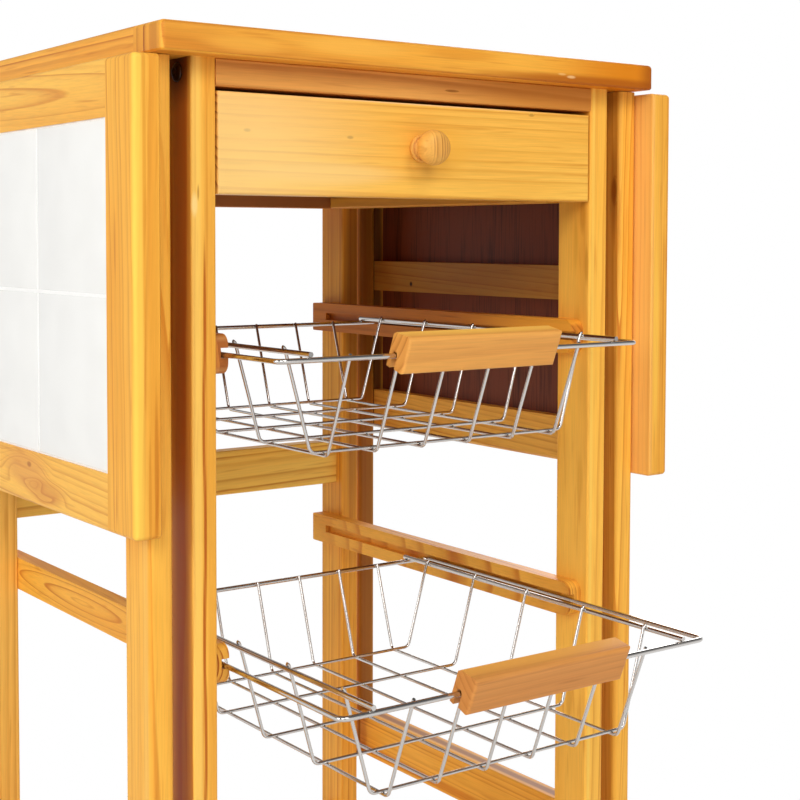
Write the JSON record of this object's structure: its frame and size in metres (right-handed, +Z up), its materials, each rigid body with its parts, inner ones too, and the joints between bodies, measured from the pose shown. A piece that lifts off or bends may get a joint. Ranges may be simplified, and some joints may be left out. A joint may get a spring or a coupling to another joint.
{
  "type": "drop-leaf kitchen cart",
  "caption": "Pine kitchen cart on casters with a tiled top, hinged drop leaves with swing supports, a drawer and sliding wire baskets.",
  "frame": {"origin": "on the floor, in the middle of the cart's width and of its depth with the lower basket drawn out as in the picture", "axes": "+Z up, +Y from the front to the rear, +X to the right seen from the front"},
  "size_m": [0.4116, 0.4813, 0.756],
  "materials": {
    "varnished_pine": "honey-orange varnished pine, satin",
    "turned_pine": "lighter varnished pine, satin",
    "plywood": "dark brown plywood, matte",
    "glazed_tile": "white glazed ceramic tile",
    "grout": "white cement grout, matte",
    "chrome_wire": "bright chrome-plated steel wire",
    "hinge_steel": "zinc-plated steel",
    "bolt_steel": "blackened steel",
    "caster_steel": "zinc-plated pressed steel",
    "caster_plastic": "black moulded plastic"
  },
  "bodies": {
    "frame": {"basket_runners_lower": "varnished_pine", "basket_runners_upper": "varnished_pine", "bottom_front_rail": "varnished_pine", "bottom_rear_rail": "varnished_pine", "bottom_side_rails": "varnished_pine", "drawer_guides": "varnished_pine", "frame_bolts": "bolt_steel", "front_rail": "varnished_pine", "gate_left_post": "varnished_pine", "gate_left_rails": "varnished_pine", "gate_left_stile": "varnished_pine", "gate_pivots": "hinge_steel", "gate_right_post": "varnished_pine", "gate_right_rails": "varnished_pine", "gate_right_stile": "varnished_pine", "hinge_left_top": "hinge_steel", "hinge_right_top": "hinge_steel", "leg_front_left": "varnished_pine", "leg_front_right": "varnished_pine", "leg_rear_left": "varnished_pine", "leg_rear_right": "varnished_pine", "rear_apron": "varnished_pine", "rear_rail": "varnished_pine", "side_aprons": "varnished_pine", "top_end_boards": "varnished_pine", "top_grout": "grout", "top_panel": "plywood", "top_side_boards": "varnished_pine", "top_tiles": "glazed_tile"},
    "drawer": {"drawer_back": "varnished_pine", "drawer_bottom": "plywood", "drawer_front": "varnished_pine", "drawer_knob": "turned_pine", "drawer_sides": "varnished_pine"},
    "basket_upper": {"basket_upper_handle": "turned_pine", "basket_upper_wires": "chrome_wire"},
    "basket_lower": {"basket_lower_handle": "turned_pine", "basket_lower_wires": "chrome_wire"},
    "leaf_left": {"hinge_left_leaf": "hinge_steel", "leaf_left_grout": "grout", "leaf_left_panel": "plywood", "leaf_left_rails": "varnished_pine", "leaf_left_stiles": "varnished_pine", "leaf_left_tiles": "glazed_tile"},
    "leaf_right": {"hinge_right_leaf": "hinge_steel", "leaf_right_grout": "grout", "leaf_right_panel": "plywood", "leaf_right_rails": "varnished_pine", "leaf_right_stiles": "varnished_pine", "leaf_right_tiles": "glazed_tile"},
    "caster_front_left": {"caster_fork_front_left": "caster_steel"},
    "wheel_front_left": {"caster_wheel_front_left": "caster_plastic"},
    "caster_front_right": {"caster_fork_front_right": "caster_steel"},
    "wheel_front_right": {"caster_wheel_front_right": "caster_plastic"},
    "caster_rear_left": {"caster_fork_rear_left": "caster_steel"},
    "wheel_rear_left": {"caster_wheel_rear_left": "caster_plastic"},
    "caster_rear_right": {"caster_fork_rear_right": "caster_steel"},
    "wheel_rear_right": {"caster_wheel_rear_right": "caster_plastic"}
  },
  "joints": [
    {"name": "leaf_left_hinge", "type": "hinge", "parent": "frame", "child": "leaf_left", "pos_m": [-0.188, 0.05702, 0.7382], "axis": [0, 1, 0], "range_deg": [0, 90]},
    {"name": "leaf_right_hinge", "type": "hinge", "parent": "frame", "child": "leaf_right", "pos_m": [0.188, 0.05702, 0.7382], "axis": [0, -1, 0], "range_deg": [0, 90]},
    {"name": "drawer_slide", "type": "slide", "parent": "frame", "child": "drawer", "axis": [0, -1, 0], "range_m": [0, 0.2]},
    {"name": "basket_upper_slide", "type": "slide", "parent": "frame", "child": "basket_upper", "axis": [0, -1, 0], "range_m": [-0.064, 0.078]},
    {"name": "basket_lower_slide", "type": "slide", "parent": "frame", "child": "basket_lower", "axis": [0, -1, 0], "range_m": [-0.125, 0.017]},
    {"name": "caster_front_left_swivel", "type": "hinge", "parent": "frame", "child": "caster_front_left", "pos_m": [-0.1535, -0.09448, 0.054], "axis": [0, 0, 1], "continuous": true},
    {"name": "wheel_front_left_spin", "type": "hinge", "parent": "caster_front_left", "child": "wheel_front_left", "pos_m": [-0.1535, -0.08448, 0.02], "axis": [1, 0, 0], "continuous": true},
    {"name": "caster_front_right_swivel", "type": "hinge", "parent": "frame", "child": "caster_front_right", "pos_m": [0.1535, -0.09448, 0.054], "axis": [0, 0, 1], "continuous": true},
    {"name": "wheel_front_right_spin", "type": "hinge", "parent": "caster_front_right", "child": "wheel_front_right", "pos_m": [0.1535, -0.08448, 0.02], "axis": [1, 0, 0], "continuous": true},
    {"name": "caster_rear_left_swivel", "type": "hinge", "parent": "frame", "child": "caster_rear_left", "pos_m": [-0.1535, 0.20852, 0.054], "axis": [0, 0, 1], "continuous": true},
    {"name": "wheel_rear_left_spin", "type": "hinge", "parent": "caster_rear_left", "child": "wheel_rear_left", "pos_m": [-0.1535, 0.21852, 0.02], "axis": [1, 0, 0], "continuous": true},
    {"name": "caster_rear_right_swivel", "type": "hinge", "parent": "frame", "child": "caster_rear_right", "pos_m": [0.1535, 0.20852, 0.054], "axis": [0, 0, 1], "continuous": true},
    {"name": "wheel_rear_right_spin", "type": "hinge", "parent": "caster_rear_right", "child": "wheel_rear_right", "pos_m": [0.1535, 0.21852, 0.02], "axis": [1, 0, 0], "continuous": true}
  ]
}
